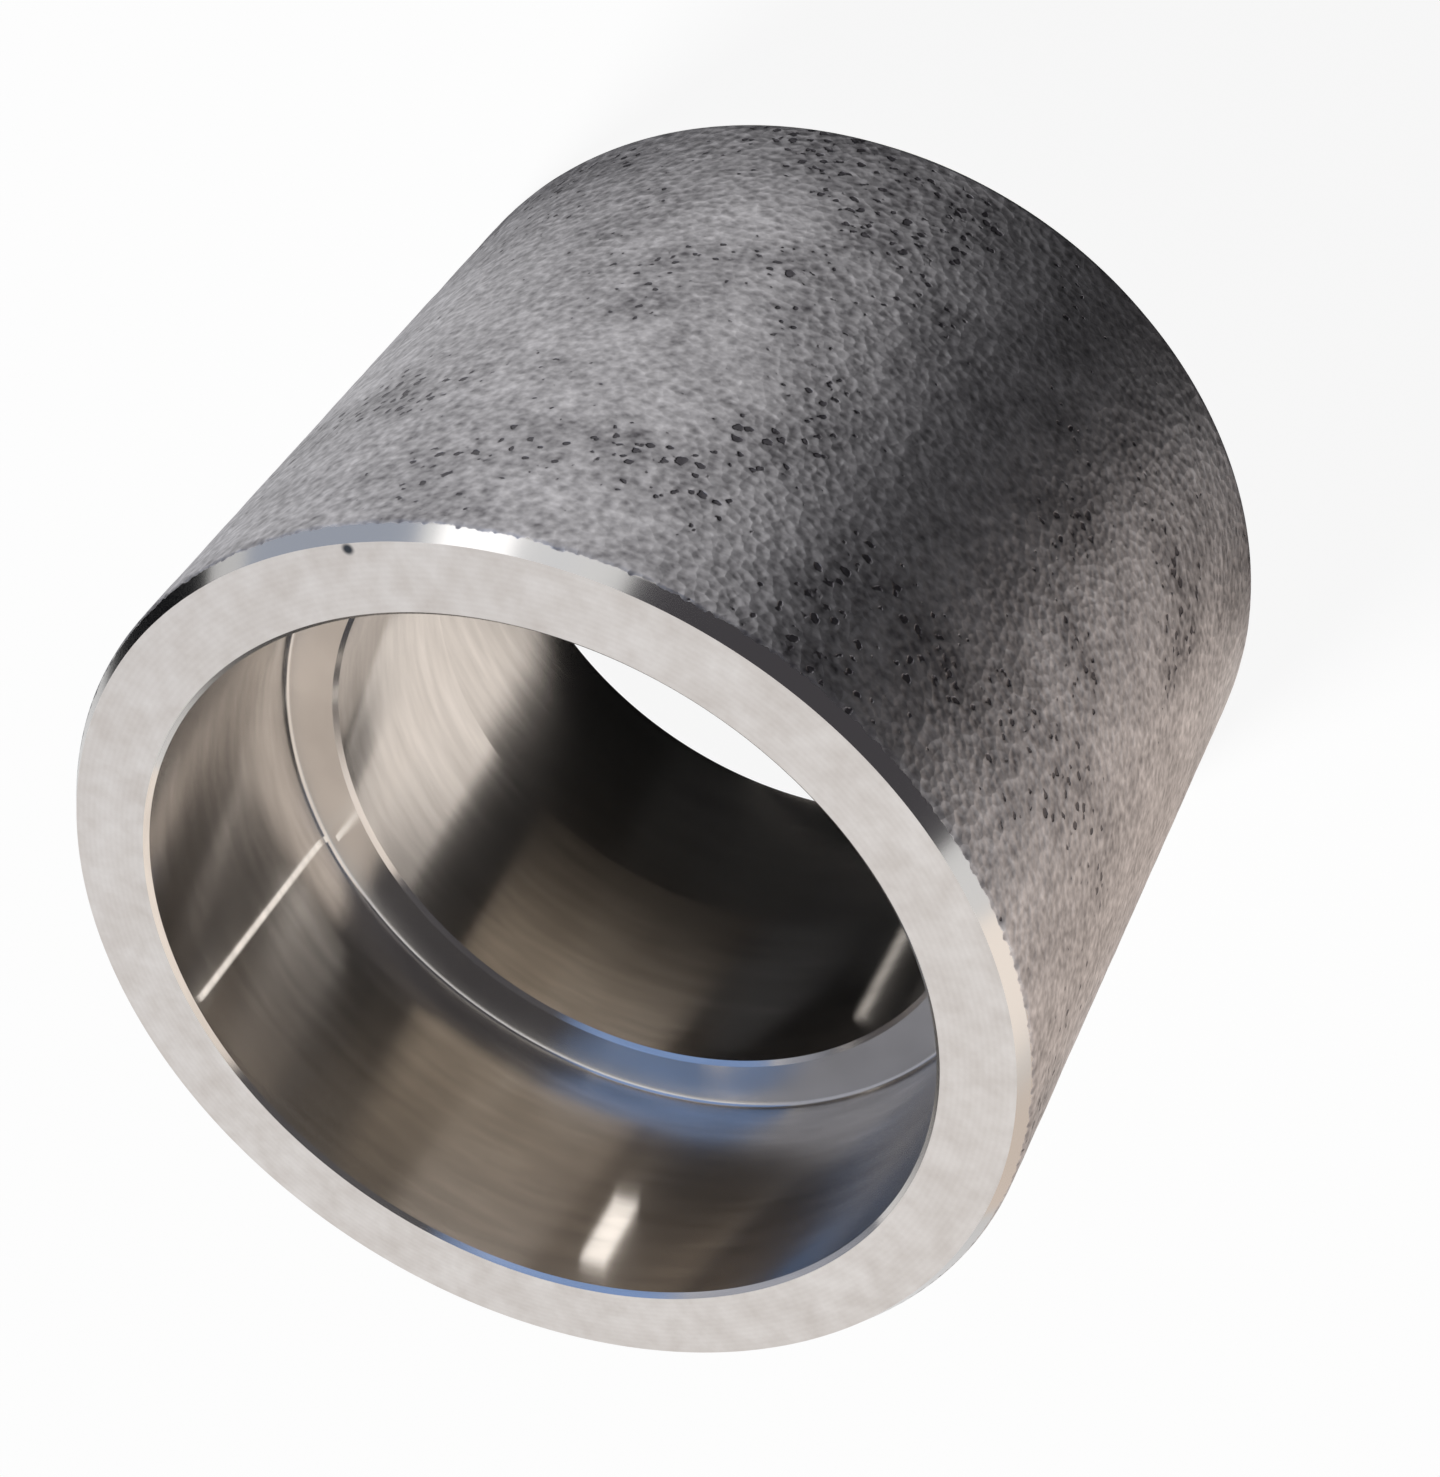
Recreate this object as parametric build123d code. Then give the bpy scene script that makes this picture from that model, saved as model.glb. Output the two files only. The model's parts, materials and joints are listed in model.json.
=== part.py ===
from build123d import *
from math import radians, tan
import os

# Socket-weld full coupling for DN 50 pipe, forged in one piece and turned at both ends.
# Millimetres. The pipe axis is Z and the coupling stands on its lower end face at Z = 0.

# Pipe that the sockets take, and the room round it
pipe_outside_diameter = 60.3
socket_clearance = 1.1  # on the diameter

# Sockets, one at each end
socket_depth = 22.25  # from the end face to the stop shoulder
socket_wall = 6.8  # from the socket bore to the outside

# Stop between the sockets, and the flow bore through it
stop_width = 19.0
flow_bore_diameter = 52.5

# Edges
end_chamfer_length = 1.6  # along the pipe axis
end_chamfer_angle = 30.0  # degrees between the chamfer and the pipe axis
mouth_break = 0.35  # chamfer at the mouth of each socket
stop_edge_break = 0.35  # chamfer where each shoulder meets the flow bore
root_radius = 0.5  # fillet where each socket wall meets its shoulder

# Sizes that follow
socket_radius = (pipe_outside_diameter + socket_clearance) / 2
outer_radius = socket_radius + socket_wall
flow_bore_radius = flow_bore_diameter / 2
end_chamfer_width = end_chamfer_length * tan(radians(end_chamfer_angle))
overall_length = 2 * socket_depth + stop_width
mid_height = overall_length / 2


def half_section():
    """Upper half of the wall's section in the XZ plane, from mid height to the upper face."""
    shoulder_height = overall_length - socket_depth
    with BuildSketch(Plane.XZ) as section:
        with BuildLine():
            Polyline(
                (flow_bore_radius, mid_height),
                (outer_radius, mid_height),
                (outer_radius, overall_length - end_chamfer_length),
                (outer_radius - end_chamfer_width, overall_length),
                (socket_radius + mouth_break, overall_length),
                (socket_radius, overall_length - mouth_break),
                (socket_radius, shoulder_height),
                (flow_bore_radius + stop_edge_break, shoulder_height),
                (flow_bore_radius, shoulder_height - stop_edge_break),
                close=True,
            )
        make_face()
        socket_root = section.vertices().sort_by_distance((socket_radius, shoulder_height))[0]
        fillet(socket_root, root_radius)
    return section.sketch


def coupling_body():
    """The half section turned once round the axis, and mirrored to make the lower socket."""
    upper_half = revolve(half_section(), Axis.Z)
    lower_half = mirror(upper_half, about=Plane.XY.offset(mid_height))
    return upper_half + lower_half


os.makedirs("parts", exist_ok=True)
export_step(coupling_body(), "parts/coupling_body.step")
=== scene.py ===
import bpy
import json
import math
from mathutils import Matrix, Vector


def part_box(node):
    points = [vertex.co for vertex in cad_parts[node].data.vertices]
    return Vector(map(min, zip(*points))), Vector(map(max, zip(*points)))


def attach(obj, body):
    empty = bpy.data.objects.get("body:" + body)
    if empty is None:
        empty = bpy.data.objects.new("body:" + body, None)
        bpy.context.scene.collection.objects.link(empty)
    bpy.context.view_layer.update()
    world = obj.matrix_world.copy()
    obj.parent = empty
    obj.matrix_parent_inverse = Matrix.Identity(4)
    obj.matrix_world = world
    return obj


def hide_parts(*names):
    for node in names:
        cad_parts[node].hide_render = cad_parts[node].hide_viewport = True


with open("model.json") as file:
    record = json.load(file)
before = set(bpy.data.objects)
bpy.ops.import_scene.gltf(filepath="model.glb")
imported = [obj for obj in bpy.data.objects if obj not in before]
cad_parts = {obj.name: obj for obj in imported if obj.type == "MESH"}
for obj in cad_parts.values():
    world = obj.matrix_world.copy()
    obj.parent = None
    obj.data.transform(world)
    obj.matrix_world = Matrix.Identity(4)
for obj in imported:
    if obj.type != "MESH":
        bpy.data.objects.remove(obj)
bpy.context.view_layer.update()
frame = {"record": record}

# The coupling is one steel forging: a thick plain ring, turned at both ends, with a stepped
# socket in each end for the pipe and a narrower flow bore between the two. The section below
# is its wall as the lathe leaves it, and the forged outside gets its rough skin further on.
MM = 0.001
low_corner, high_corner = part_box("coupling_body")
length = high_corner.z - low_corner.z
outer_radius = max(high_corner.x, high_corner.y)
mounts = {mount["name"]: mount for mount in frame["record"]["mounts"]}
socket_radius = mounts["upper_socket"]["dims"]["r_mm"] * MM
shoulder_height = mounts["upper_stop"]["pos_m"][2]
flow_bore_radius = 26.25 * MM
bevel_length = 1.6 * MM
bevel_width = bevel_length * math.tan(math.radians(30))
mouth_break = 0.35 * MM
stop_edge_break = 0.35 * MM
root_radius = 0.5 * MM
FORGED, FACED, BORED = 0, 1, 2


def stretch(start, end, ring_spacing, finish):
    """Rings along a straight run of the section, each with the finish of the wall after it."""
    start, end = Vector(start), Vector(end)
    count = max(1, round((end - start).length / ring_spacing))
    return [(*start.lerp(end, i / count), finish) for i in range(count)]


def root_fillet(count):
    """Rings round the small quarter circle between the socket wall and its shoulder."""
    centre = Vector((socket_radius - root_radius, shoulder_height + root_radius))
    turns = [-math.pi / 2 * i / count for i in range(count)]
    return [(*(centre + root_radius * Vector((math.cos(a), math.sin(a)))), BORED) for a in turns]


bevel_foot = (outer_radius, length - bevel_length)
face_edge = (outer_radius - bevel_width, length)
mouth_edge = (socket_radius + mouth_break, length)
socket_top = (socket_radius, length - mouth_break)
socket_foot = (socket_radius, shoulder_height + root_radius)
shoulder_start = (socket_radius - root_radius, shoulder_height)
shoulder_end = (flow_bore_radius + stop_edge_break, shoulder_height)
bore_top = (flow_bore_radius, shoulder_height - stop_edge_break)
upper_rings = [
    *stretch((outer_radius, length / 2), bevel_foot, 0.62 * MM, FORGED),
    *stretch(bevel_foot, face_edge, 0.25 * MM, FORGED),
    *stretch(face_edge, mouth_edge, 0.6 * MM, FACED),
    *stretch(mouth_edge, socket_top, 0.2 * MM, BORED),
    *stretch(socket_top, socket_foot, 3 * MM, BORED),
    *root_fillet(5),
    *stretch(shoulder_start, shoulder_end, 2 * MM, BORED),
    *stretch(shoulder_end, bore_top, 0.2 * MM, BORED),
    *stretch(bore_top, (flow_bore_radius, length / 2), 3 * MM, BORED),
    (flow_bore_radius, length / 2, BORED),
]
finish_before = [finish for _, _, finish in upper_rings[:-1]][::-1]
lower_rings = [(r, length - z, finish) for (r, z, _), finish in zip(upper_rings[:0:-1], finish_before)]
section_rings = upper_rings[:-1] + lower_rings

section = bpy.data.meshes.new("coupling_section")
section.from_pydata([(r, 0, z) for r, z, _ in section_rings], [], [])
section.attributes.new("finish", "INT", "POINT").data.foreach_set("value", [f for _, _, f in section_rings])
coupling = bpy.data.objects.new("coupling_forging", section)
bpy.context.scene.collection.objects.link(coupling)


def add(tree, kind, inputs=None, **settings):
    """Adds a node with its settings. An input takes a value, a node's output or a node itself."""
    made = tree.nodes.new(kind)
    for name, value in settings.items():
        setattr(made, name, value)
    for key, value in (inputs or {}).items():
        source = value.outputs[0] if isinstance(value, bpy.types.Node) else value
        if isinstance(source, bpy.types.NodeSocket):
            tree.links.new(source, made.inputs[key])
        else:
            made.inputs[key].default_value = source
    return made


def linear(hex_colour):
    """An sRGB hex colour as the linear colour that shaders work in."""
    channels = [int(hex_colour[i:i + 2], 16) / 255 for i in (1, 3, 5)]
    return (*(c / 12.92 if c <= 0.04045 else ((c + 0.055) / 1.055) ** 2.4 for c in channels), 1)


# Shot-blasted forging skin: dull grey steel, dented all over by the shot, with dark scale left
# in the deeper pits. The same material carries the bevelled rim, where the lathe has cut the
# skin away to bright steel, so that the two meet in a ragged line as on the real forging.
forged_steel = bpy.data.materials.new("shot_blasted_forged_steel")
forged_steel.use_nodes = True
tree = forged_steel.node_tree
shader = tree.nodes["Principled BSDF"]
shader.inputs["Metallic"].default_value = 1.0
place = add(tree, "ShaderNodeTexCoord").outputs["Object"]
grain = add(tree, "ShaderNodeTexNoise", {"Vector": place, "Scale": 1 / (0.7 * MM), "Detail": 1.5})
shot_dents = add(tree, "ShaderNodeTexVoronoi",
                 {"Vector": place, "Scale": 1 / (0.85 * MM)}, feature="F1")
blotches = add(tree, "ShaderNodeTexNoise", {"Vector": place, "Scale": 1 / (5 * MM), "Detail": 3.0})
clusters = add(tree, "ShaderNodeTexNoise", {"Vector": place, "Scale": 1 / (13 * MM), "Detail": 1.0})
pits = add(tree, "ShaderNodeTexVoronoi", {"Vector": place, "Scale": 1 / (1.2 * MM)}, feature="F1")
pit_rim = add(tree, "ShaderNodeMath", {0: grain, 1: 0.9, 2: pits}, operation="MULTIPLY_ADD")
pit_reach = add(tree, "ShaderNodeMapRange", {0: clusters, 1: 0.42, 2: 0.64, 3: 0.42, 4: 0.78})
pit_core = add(tree, "ShaderNodeMath", {0: pit_reach, 1: 0.16}, operation="SUBTRACT")
pit = add(tree, "ShaderNodeMapRange", {0: pit_rim, 1: pit_core, 2: pit_reach, 3: 1.0, 4: 0.0},
          interpolation_type="SMOOTHSTEP")
haze = add(tree, "ShaderNodeMapRange", {0: clusters, 1: 0.48, 2: 0.66, 3: 0.05, 4: -0.10})
tone = add(tree, "ShaderNodeMath", {0: grain, 1: 0.80, 2: haze}, operation="MULTIPLY_ADD")
tone = add(tree, "ShaderNodeMath", {0: shot_dents, 1: 0.20, 2: tone}, operation="MULTIPLY_ADD")
tone = add(tree, "ShaderNodeMath", {0: blotches, 1: 0.5, 2: tone}, operation="MULTIPLY_ADD")
tone = add(tree, "ShaderNodeMath", {0: pit, 1: -0.50, 2: tone}, operation="MULTIPLY_ADD")
skin = add(tree, "ShaderNodeMapRange", {0: tone, 1: 0.35, 2: 1.10, 3: 0.0, 4: 1.0})
skin_colour = add(tree, "ShaderNodeMix", {0: skin, 6: linear("#5a575b"), 7: linear("#e0dddf")}, data_type="RGBA")
cut = add(tree, "ShaderNodeAttribute", attribute_name="cut").outputs["Fac"]
torn = add(tree, "ShaderNodeMapRange", {0: grain, 1: 0.2, 2: 0.8, 3: -0.10, 4: 0.10}, clamp=False)
cut_edge = add(tree, "ShaderNodeMath", {0: cut, 1: torn}, operation="ADD")
turned = add(tree, "ShaderNodeMapRange", {0: cut_edge, 1: 0.11, 2: 0.16, 3: 0.0, 4: 1.0})
colour = add(tree, "ShaderNodeMix", {0: turned, 6: skin_colour.outputs[2], 7: linear("#d0cecc")}, data_type="RGBA")
roughness = add(tree, "ShaderNodeMapRange", {0: turned, 3: 0.46, 4: 0.15})
height = add(tree, "ShaderNodeMath", {0: grain, 1: 0.6, 2: shot_dents}, operation="MULTIPLY_ADD")
height = add(tree, "ShaderNodeMath", {0: pit, 1: -0.8, 2: height}, operation="MULTIPLY_ADD")
skin_share = add(tree, "ShaderNodeMath", {0: 1.0, 1: turned}, operation="SUBTRACT")
bump = add(tree, "ShaderNodeBump", {"Height": height, "Strength": skin_share, "Distance": 0.07 * MM})
tree.links.new(colour.outputs[2], shader.inputs["Base Color"])
tree.links.new(roughness.outputs[0], shader.inputs["Roughness"])
tree.links.new(bump.outputs[0], shader.inputs["Normal"])

# Faced steel: the end faces, turned with a fine feed, matt and silvery, with faint rings left
# by the tool and cloudy patches where hands and oil have been.
faced_steel = bpy.data.materials.new("faced_steel")
faced_steel.use_nodes = True
tree = faced_steel.node_tree
shader = tree.nodes["Principled BSDF"]
shader.inputs["Metallic"].default_value = 1.0
place = add(tree, "ShaderNodeTexCoord").outputs["Object"]
ring_spacing = 0.45 * MM
tool_rings = add(tree, "ShaderNodeTexWave",
                 {"Vector": place, "Scale": math.tau / 20 / ring_spacing, "Distortion": 0.6, "Detail": 2.0,
                  "Detail Scale": 0.02}, wave_type="RINGS", rings_direction="Z")
clouds = add(tree, "ShaderNodeTexNoise", {"Vector": place, "Scale": 1 / (2.6 * MM), "Detail": 4.0, "Roughness": 0.6})
tone = add(tree, "ShaderNodeMath", {0: tool_rings.outputs["Fac"], 1: 0.05, 2: clouds}, operation="MULTIPLY_ADD")
face_tone = add(tree, "ShaderNodeMapRange", {0: tone, 1: 0.22, 2: 0.82})
face_colour = add(tree, "ShaderNodeMix", {0: face_tone, 6: linear("#c4bdb8"), 7: linear("#e0dcd9")}, data_type="RGBA")
# Painted shade: a small dark spot in the end face's colour stands in for the shade inside a nick; the dent itself is
# not modelled.
painted_nick_shade_centre = (25.6 * MM, -25.5 * MM, length)
painted_nick_shade = add(tree, "ShaderNodeVectorMath", {0: place, 1: painted_nick_shade_centre}, operation="DISTANCE").outputs["Value"]
painted_nick_shade = add(tree, "ShaderNodeMapRange", {0: painted_nick_shade, 1: 0.2 * MM, 2: 0.6 * MM, 3: 1.0, 4: 0.0},
           interpolation_type="SMOOTHSTEP")
face_colour = add(tree, "ShaderNodeMix", {0: painted_nick_shade, 6: face_colour.outputs[2], 7: linear("#3c4046")}, data_type="RGBA")
roughness = add(tree, "ShaderNodeMapRange", {0: clouds, 1: 0.3, 2: 0.7, 3: 0.34, 4: 0.42})
bump = add(tree, "ShaderNodeBump", {"Height": tool_rings.outputs["Fac"], "Strength": 1.0, "Distance": 0.0012 * MM})
tree.links.new(face_colour.outputs[2], shader.inputs["Base Color"])
tree.links.new(roughness.outputs[0], shader.inputs["Roughness"])
tree.links.new(bump.outputs[0], shader.inputs["Normal"])

# Bored steel: the sockets, shoulders and flow bore, smooth enough to mirror. The fine turning
# grooves run round the bore, so a reflection is drawn out along the pipe axis, and each pass
# of the tool leaves a faint band.
bored_steel = bpy.data.materials.new("bored_steel")
bored_steel.use_nodes = True
tree = bored_steel.node_tree
shader = tree.nodes["Principled BSDF"]
shader.inputs["Metallic"].default_value = 1.0
shader.inputs["Roughness"].default_value = 0.18
shader.inputs["Anisotropic"].default_value = 0.93
shader.inputs["Anisotropic Rotation"].default_value = 0.25
place = add(tree, "ShaderNodeTexCoord").outputs["Object"]
stretched = add(tree, "ShaderNodeMapping", {"Vector": place, "Scale": (0.12, 0.12, 1.0)})
tool_bands = add(tree, "ShaderNodeTexNoise", {"Vector": stretched, "Scale": 1 / (1.2 * MM), "Detail": 3.0})
bore_tone = add(tree, "ShaderNodeMapRange", {0: tool_bands, 1: 0.3, 2: 0.7})
bore_colour = add(tree, "ShaderNodeMix", {0: bore_tone, 6: linear("#c0bdba"), 7: linear("#d4d1ce")}, data_type="RGBA")
grooves = add(tree, "ShaderNodeTangent", direction_type="RADIAL", axis="Z")
tree.links.new(bore_colour.outputs[2], shader.inputs["Base Color"])
tree.links.new(grooves.outputs[0], shader.inputs["Tangent"])

# The tree turns the section round the axis and sinks the skin into its swells and dents.
forging = bpy.data.node_groups.new("Turned forging", "GeometryNodeTree")
tree_inputs = {
    "Segments": ("NodeSocketInt", 480),
    "Outer Radius": ("NodeSocketFloat", outer_radius),
    "Swell Depth": ("NodeSocketFloat", 0.10 * MM),
    "Swell Size": ("NodeSocketFloat", 6 * MM),
    "Dent Depth": ("NodeSocketFloat", 0.09 * MM),
    "Dent Size": ("NodeSocketFloat", 1.9 * MM),
    "Seed": ("NodeSocketFloat", 4.0),
    "Forged Steel": ("NodeSocketMaterial", forged_steel),
    "Faced Steel": ("NodeSocketMaterial", faced_steel),
    "Bored Steel": ("NodeSocketMaterial", bored_steel),
}
forging.interface.new_socket("Section", in_out="INPUT", socket_type="NodeSocketGeometry")
identifiers = {
    name: forging.interface.new_socket(name, in_out="INPUT", socket_type=kind).identifier
    for name, (kind, _) in tree_inputs.items()
}
forging.interface.new_socket("Forging", in_out="OUTPUT", socket_type="NodeSocketGeometry")
given = add(forging, "NodeGroupInput").outputs
rings = add(forging, "GeometryNodeAttributeDomainSize", {0: given["Section"]}).outputs["Point Count"]
grid_rows = add(forging, "ShaderNodeMath", {0: rings, 1: 1.0}, operation="ADD")
grid_columns = add(forging, "ShaderNodeMath", {0: given["Segments"], 1: 1.0}, operation="ADD")
grid = add(forging, "GeometryNodeMeshGrid", {"Vertices X": grid_rows, "Vertices Y": grid_columns})
index = add(forging, "GeometryNodeInputIndex")
middle_of_index = add(forging, "ShaderNodeMath", {0: index, 1: 0.5}, operation="ADD")
row = add(forging, "ShaderNodeMath", {0: middle_of_index, 1: grid_columns}, operation="DIVIDE")
row = add(forging, "ShaderNodeMath", {0: row}, operation="FLOOR")
ring = add(forging, "ShaderNodeMath", {0: row, 1: rings}, operation="MODULO")
column = add(forging, "ShaderNodeMath", {0: index, 1: grid_columns}, operation="MODULO")
angle = add(forging, "ShaderNodeMath", {0: column, 1: given["Segments"]}, operation="DIVIDE")
angle = add(forging, "ShaderNodeMath", {0: angle, 1: math.tau}, operation="MULTIPLY")
section_place = add(forging, "GeometryNodeInputPosition")
on_section = add(forging, "GeometryNodeSampleIndex", {0: given["Section"], 1: section_place, 2: ring},
                 data_type="FLOAT_VECTOR")
section_axes = add(forging, "ShaderNodeSeparateXYZ", {0: on_section}).outputs
cosine = add(forging, "ShaderNodeMath", {0: angle}, operation="COSINE")
sine = add(forging, "ShaderNodeMath", {0: angle}, operation="SINE")
round_axis = add(forging, "ShaderNodeCombineXYZ", {0: cosine, 1: sine})
on_skin = add(forging, "ShaderNodeVectorMath", {0: round_axis, 3: given["Outer Radius"]}, operation="SCALE")
lift = add(forging, "ShaderNodeCombineXYZ", {2: section_axes["Z"]})
on_skin = add(forging, "ShaderNodeVectorMath", {0: on_skin, 1: lift}, operation="ADD")
swell_scale = add(forging, "ShaderNodeMath", {0: 1.0, 1: given["Swell Size"]}, operation="DIVIDE")
swells = add(forging, "ShaderNodeTexNoise",
             {"Vector": on_skin, "W": given["Seed"], "Scale": swell_scale, "Detail": 1.0}, noise_dimensions="4D")
dent_scale = add(forging, "ShaderNodeMath", {0: 1.0, 1: given["Dent Size"]}, operation="DIVIDE")
small_dents = add(forging, "ShaderNodeTexNoise",
                  {"Vector": on_skin, "W": given["Seed"], "Scale": dent_scale, "Detail": 1.0}, noise_dimensions="4D")
swell_sink = add(forging, "ShaderNodeMath", {0: swells, 1: given["Swell Depth"]}, operation="MULTIPLY")
sink = add(forging, "ShaderNodeMath", {0: small_dents, 1: given["Dent Depth"], 2: swell_sink}, operation="MULTIPLY_ADD")
skin_radius = add(forging, "ShaderNodeMath", {0: given["Outer Radius"], 1: sink}, operation="SUBTRACT")
wall_radius = add(forging, "ShaderNodeMath", {0: section_axes["X"], 1: skin_radius}, operation="MINIMUM")
on_wall = add(forging, "ShaderNodeVectorMath", {0: round_axis, 3: wall_radius}, operation="SCALE")
on_wall = add(forging, "ShaderNodeVectorMath", {0: on_wall, 1: lift}, operation="ADD")
turned_grid = add(forging, "GeometryNodeSetPosition", {0: grid, "Position": on_wall})
cut_depth = add(forging, "ShaderNodeMath", {0: skin_radius, 1: section_axes["X"]}, operation="SUBTRACT")
cut_in_mm = add(forging, "ShaderNodeMath", {0: cut_depth, 1: MM}, operation="DIVIDE")
geometry = add(forging, "GeometryNodeStoreNamedAttribute",
               {0: turned_grid, "Name": "cut", "Value": cut_in_mm}, data_type="FLOAT", domain="POINT")
face_row = add(forging, "ShaderNodeMath", {0: middle_of_index, 1: given["Segments"]}, operation="DIVIDE")
face_row = add(forging, "ShaderNodeMath", {0: face_row}, operation="FLOOR")
finish = add(forging, "GeometryNodeInputNamedAttribute", {"Name": "finish"}, data_type="INT")
face_finish = add(forging, "GeometryNodeSampleIndex", {0: given["Section"], 1: finish, 2: face_row}, data_type="INT")
geometry = add(forging, "GeometryNodeStoreNamedAttribute",
               {0: geometry, "Name": "finish", "Value": face_finish}, data_type="INT", domain="FACE")
geometry = add(forging, "GeometryNodeMergeByDistance", {0: geometry, "Distance": 0.001 * MM})
geometry = add(forging, "GeometryNodeSetShadeSmooth", {0: geometry}, domain="FACE")
edge_angle = add(forging, "GeometryNodeInputMeshEdgeAngle")
sharp = add(forging, "FunctionNodeCompare", {0: edge_angle, 1: math.radians(24)},
            data_type="FLOAT", operation="GREATER_THAN")
geometry = add(forging, "GeometryNodeSetShadeSmooth", {0: geometry, 1: sharp, 2: False}, domain="EDGE")
geometry = add(forging, "GeometryNodeRealizeInstances", {0: geometry})
for number, name in enumerate(("Forged Steel", "Faced Steel", "Bored Steel")):
    chosen = add(forging, "FunctionNodeCompare", {2: finish, 3: number}, data_type="INT", operation="EQUAL")
    geometry = add(forging, "GeometryNodeSetMaterial", {0: geometry, 1: chosen, 2: given[name]})
add(forging, "NodeGroupOutput", {0: geometry})

lathe = coupling.modifiers.new("Turned forging", "NODES")
lathe.node_group = forging
for name, (_, value) in tree_inputs.items():
    lathe[identifiers[name]] = value
evaluated = coupling.evaluated_get(bpy.context.evaluated_depsgraph_get())
finished = bpy.data.meshes.new_from_object(evaluated)
coupling.modifiers.remove(lathe)
coupling.data = finished

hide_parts("coupling_body")
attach(coupling, "root")

# The floor is a sheet of white paper. The camera sees it as the white background, and a part of
# its real shade is kept, so the coupling has its shadow. The metal looks past it to the cards.
sheet_half = 1.5
paper_sheet = bpy.data.meshes.new("paper_sheet")
paper_sheet.from_pydata([(-sheet_half, -sheet_half, 0), (sheet_half, -sheet_half, 0),
                         (sheet_half, sheet_half, 0), (-sheet_half, sheet_half, 0)], [], [(0, 1, 2, 3)])
floor = bpy.data.objects.new("floor", paper_sheet)
bpy.context.scene.collection.objects.link(floor)
floor.visible_glossy = False
white_paper = bpy.data.materials.new("white_paper")
white_paper.use_nodes = True
tree = white_paper.node_tree
shader = tree.nodes["Principled BSDF"]
shader.inputs["Base Color"].default_value = linear("#e8e8e8")
shader.inputs["Roughness"].default_value = 1.0
shader.inputs["Specular IOR Level"].default_value = 0.0
white = add(tree, "ShaderNodeEmission", {"Color": (1, 1, 1, 1), "Strength": 1.0})
rays = add(tree, "ShaderNodeLightPath").outputs
seen = add(tree, "ShaderNodeMath", {0: rays["Is Camera Ray"], 1: rays["Is Transmission Ray"]}, operation="MAXIMUM")
white_share = add(tree, "ShaderNodeMath", {0: seen, 1: 0.92}, operation="MULTIPLY")
paper = add(tree, "ShaderNodeMixShader", {0: white_share, 1: shader, 2: white})
tree.links.new(paper.outputs[0], tree.nodes["Material Output"].inputs[0])
paper_sheet.materials.append(white_paper)

# The room is a white tent. The camera sees it at full white all round, the metal sees its lower
# half a little greyer, and it lights the paper softly.
tent = bpy.data.worlds.new("white_tent")
tent.use_nodes = True
bpy.context.scene.world = tent
tree = tent.node_tree
rays = add(tree, "ShaderNodeLightPath").outputs
direction = add(tree, "ShaderNodeTexCoord").outputs["Generated"]
height = add(tree, "ShaderNodeSeparateXYZ", {0: direction}).outputs["Z"]
in_metal = add(tree, "ShaderNodeMapRange", {0: height, 1: -0.05, 2: 0.05, 3: 0.78, 4: 1.0})
in_metal = add(tree, "ShaderNodeMath", {0: in_metal, 1: rays["Is Glossy Ray"]}, operation="MULTIPLY")
seen = add(tree, "ShaderNodeMath", {0: rays["Is Camera Ray"], 1: rays["Is Transmission Ray"]}, operation="MAXIMUM")
seen = add(tree, "ShaderNodeMath", {0: seen, 1: in_metal}, operation="MAXIMUM")
level = add(tree, "ShaderNodeMath", {0: seen, 1: 0.10}, operation="MAXIMUM")
background = tree.nodes["Background"]
background.inputs["Color"].default_value = (1, 1, 1, 1)
tree.links.new(level.outputs[0], background.inputs["Strength"])

# Cards and cloths stand in the tent as a photographer sets them, out of the camera's sight:
# white ones as soft lights, a pale blue one as the window side, and black ones that draw the
# dark streaks in the bright steel. They show only in the metal. The low cards under the coupling
# are painted light and painted shade of the paper beneath it, as the metal sees that paper.
middle = Vector((0, 0, length / 2))


def card(name, corners, colour, brightness):
    """A flat card with the corners given. Brightness 1 shows its colour as written."""
    sheet = bpy.data.meshes.new(name)
    sheet.from_pydata(corners, [], [range(len(corners))])
    cloth = bpy.data.materials.new(name)
    cloth.use_nodes = True
    glow = add(cloth.node_tree, "ShaderNodeEmission", {"Color": linear(colour), "Strength": brightness})
    cloth.node_tree.links.new(glow.outputs[0], cloth.node_tree.nodes["Material Output"].inputs[0])
    sheet.materials.append(cloth)
    placed = bpy.data.objects.new(name, sheet)
    bpy.context.scene.collection.objects.link(placed)
    placed.visible_camera = False
    placed.visible_shadow = False
    placed.visible_diffuse = False


def panel(name, azimuths, elevations, distance, colour, brightness=1.0):
    """A card that faces the coupling, as wide and high as the angles in degrees seen from it.
    Azimuth 0 is +Y and 90 is +X."""
    azimuth, elevation = math.radians(sum(azimuths) / 2), math.radians(sum(elevations) / 2)
    half_width = distance * math.tan(math.radians(azimuths[1] - azimuths[0]) / 2) * math.cos(elevation)
    half_height = distance * math.tan(math.radians(elevations[1] - elevations[0]) / 2)
    away = Vector((math.sin(azimuth) * math.cos(elevation), math.cos(azimuth) * math.cos(elevation),
                   math.sin(elevation)))
    facing = Matrix.Translation(middle + away * distance) @ away.to_track_quat("Z", "Y").to_matrix().to_4x4()
    corners = [(-half_width, -half_height), (half_width, -half_height), (half_width, half_height),
               (-half_width, half_height)]
    card(name, [facing @ Vector((x, y, 0)) for x, y in corners], colour, brightness)


def low_card(name, height_mm, corners_mm, colour, brightness=1.0):
    """A card that lies level under the coupling, with its corners in millimetres. Pale ones are painted light and dark
    ones painted shade of the paper there, as the metal sees it.
    """
    card(name, [Vector((x, y, height_mm)) * MM for x, y in corners_mm], colour, brightness)


def light_stick(name, foot_mm, heights_mm, width_mm, brightness):
    """A thin upright card close to the bored wall, which draws a bright streak in it."""
    x, y = foot_mm
    across = Vector((-y, x)).normalized() * width_mm / 2
    low, high = heights_mm
    ends = [(x - across.x, y - across.y), (x + across.x, y + across.y)]
    corners = [(*ends[0], low), (*ends[1], low), (*ends[1], high), (*ends[0], high)]
    card(name, [Vector(corner) * MM for corner in corners], "#fff8f0", brightness)


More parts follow.
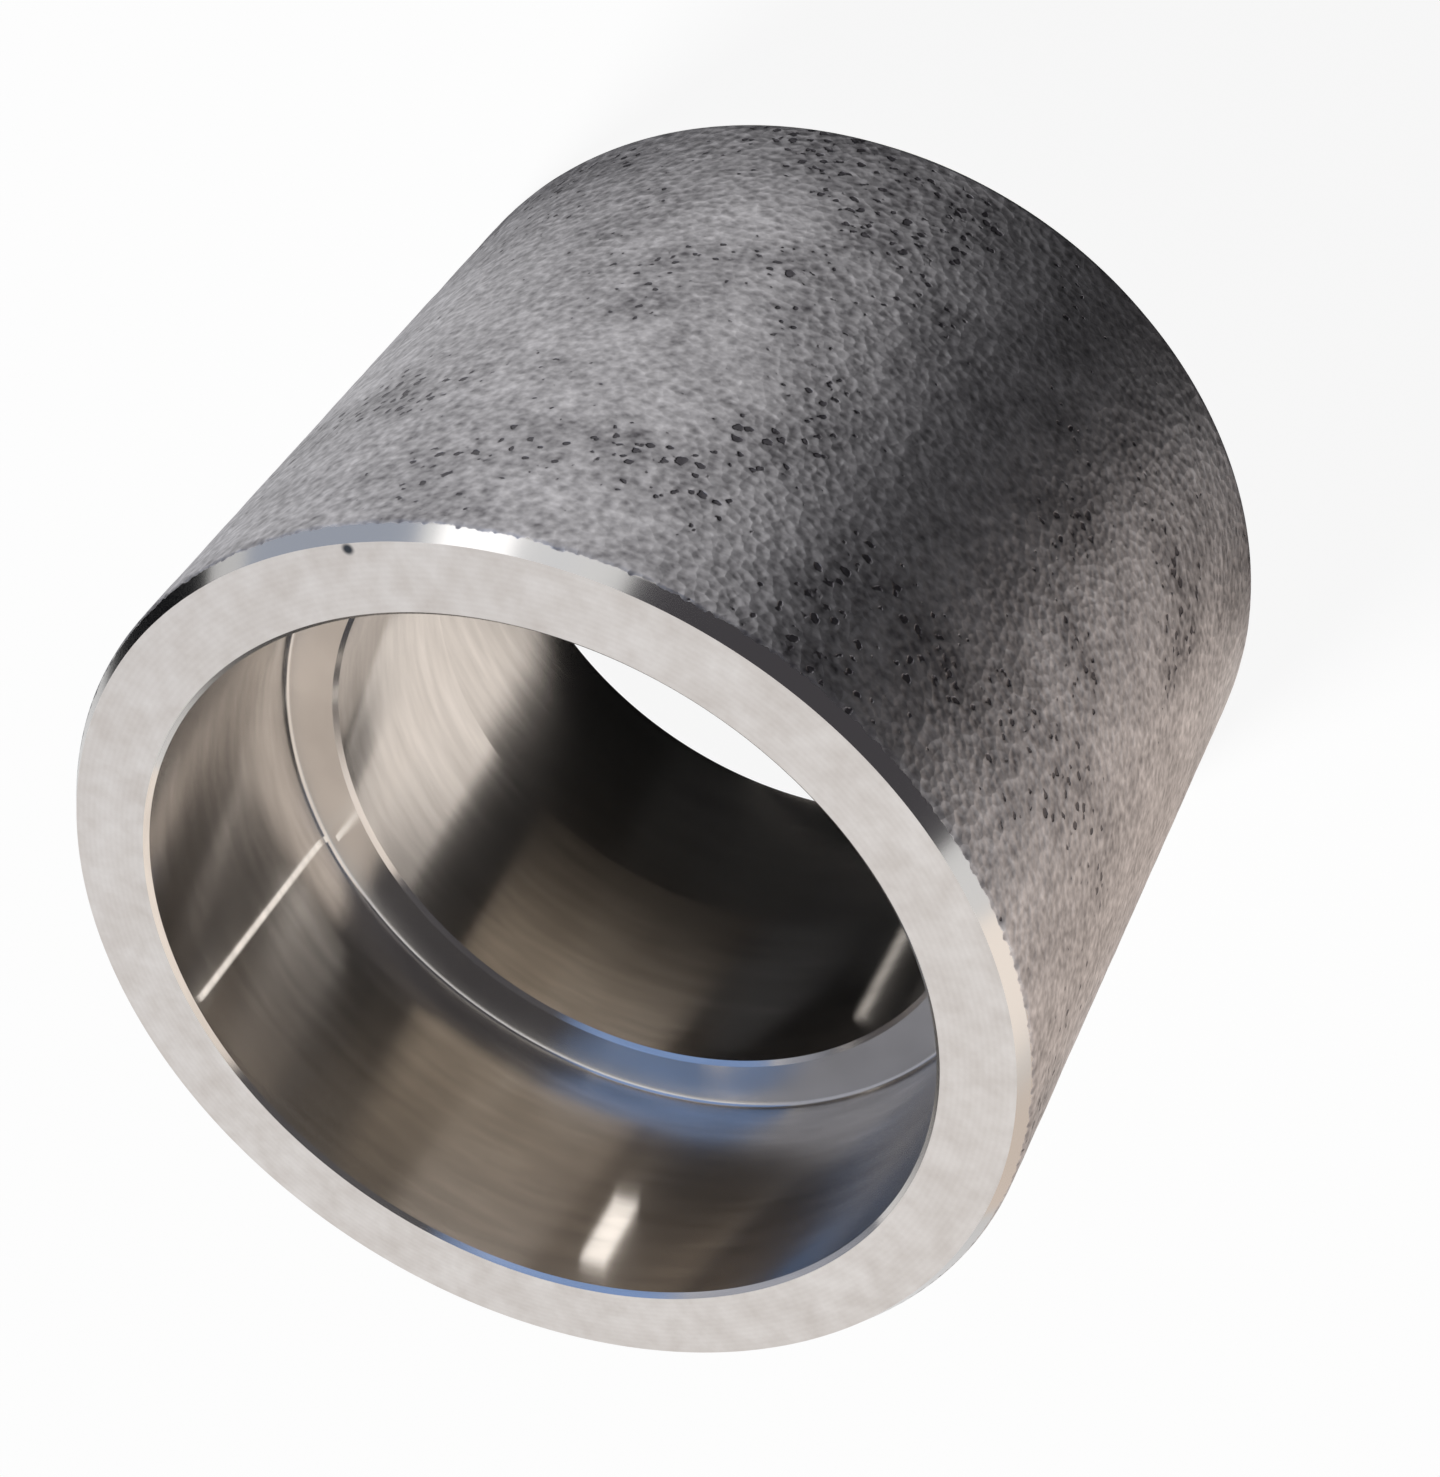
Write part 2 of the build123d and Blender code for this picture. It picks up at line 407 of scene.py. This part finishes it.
panel("dark_screen", (152, 238), (-10, 72), 0.50, "#504e52")
panel("blue_panel", (92, 152), (15, 62), 0.50, "#8db0e9")
panel("grey_panel", (36, 92), (15, 62), 0.50, "#c0c4d0")
panel("low_blue_panel", (82, 117), (-9, 15), 0.48, "#b4bccb")
panel("black_card", (38, 80), (-12, 24), 0.15, "#141416")
panel("white_strip", (121, 135), (0, 15), 0.44, "#ffffff", 1.9)
panel("right_softbox", (-118, -44), (-4, 60), 0.50, "#fff4ea", 1.3)
panel("low_dark_screen", (170, 238), (-84, -6), 0.46, "#363638")
panel("low_right_card", (-106, -40), (-84, -6), 0.44, "#ffeee0", 0.85)
# Painted light and shade of the paper under the coupling, seen only in the metal: a black sheet for the paper in shade,
# a cream sheet and a tan sheet for pools of light seen in the bore and socket, and a black sliver for the shaded edge
# under the bore.
low_card("black_cloth", -22, [(-56, -23), (-23, -56), (23, -56), (56, -23), (56, 23), (23, 56), (-23, 56),
                              (-56, 23)], "#101010")
low_card("bore_card", -20, [(-2.2, 14), (-36, -12.8), (-54, 0), (-50, 36), (-20, 52), (-4, 40)],
         "#fff6ee", 1.2)
low_card("tan_card", -0.5, [(-10, -10), (-14, -18), (-10, -28), (5, -30), (18, -24), (27.5, -11),
                            (27, -4.5), (20, -4.5), (12, -10), (0, -12)], "#b8a895")
low_card("edge_shade", -0.5, [(-8, 29.4), (-14.6, 23.8), (-20, 19.2), (-23.5, 19.6), (-17, 25.4)], "#101010")
light_stick("line_stick", (19.1, 22.95), (41.4, 61.8), 0.55, 1.4)
light_stick("rim_stick", (-12.9, 24.0), (50.5, 58), 1.7, 1.7)
light_stick("bore_stick", (-22.3, 11.8), (24, 36), 1.2, 0.6)

# The sun of the scene lights the paper from behind on the left, so the coupling has a shadow.
sun = bpy.data.lights.new("paper_sun", "SUN")
sun.angle = math.radians(16)
sun.energy = 4.0
sunlight = bpy.data.objects.new("paper_sun", sun)
bpy.context.scene.collection.objects.link(sunlight)
sunlight.rotation_mode = "QUATERNION"
sunlight.rotation_quaternion = Vector((math.sin(math.radians(14)), math.cos(math.radians(14)),
                                       math.tan(math.radians(42)))).to_track_quat("Z", "Y")
sunlight.visible_glossy = False

# The camera is close to the coupling and looks down into its upper socket, rolled so that the
# pipe axis runs to the lower left of the picture.
camera = bpy.data.objects.new("camera", bpy.data.cameras.new("camera"))
bpy.context.scene.collection.objects.link(camera)
bpy.context.scene.camera = camera
camera.data.sensor_width = 36
camera.data.lens = 81.3
camera.data.clip_start = 0.01
camera_aim = Vector((-2.39, 0, 30.9)) * MM
camera.location = Vector((0, -176.9, 226.0)) * MM
camera_roll = math.radians(147.4)
level_turn = (camera.location - camera_aim).to_track_quat("Z", "Y")
camera.rotation_mode = "QUATERNION"
camera.rotation_quaternion = level_turn @ Matrix.Rotation(-camera_roll, 3, "Z").to_quaternion()

bpy.context.scene.view_settings.view_transform = "Standard"
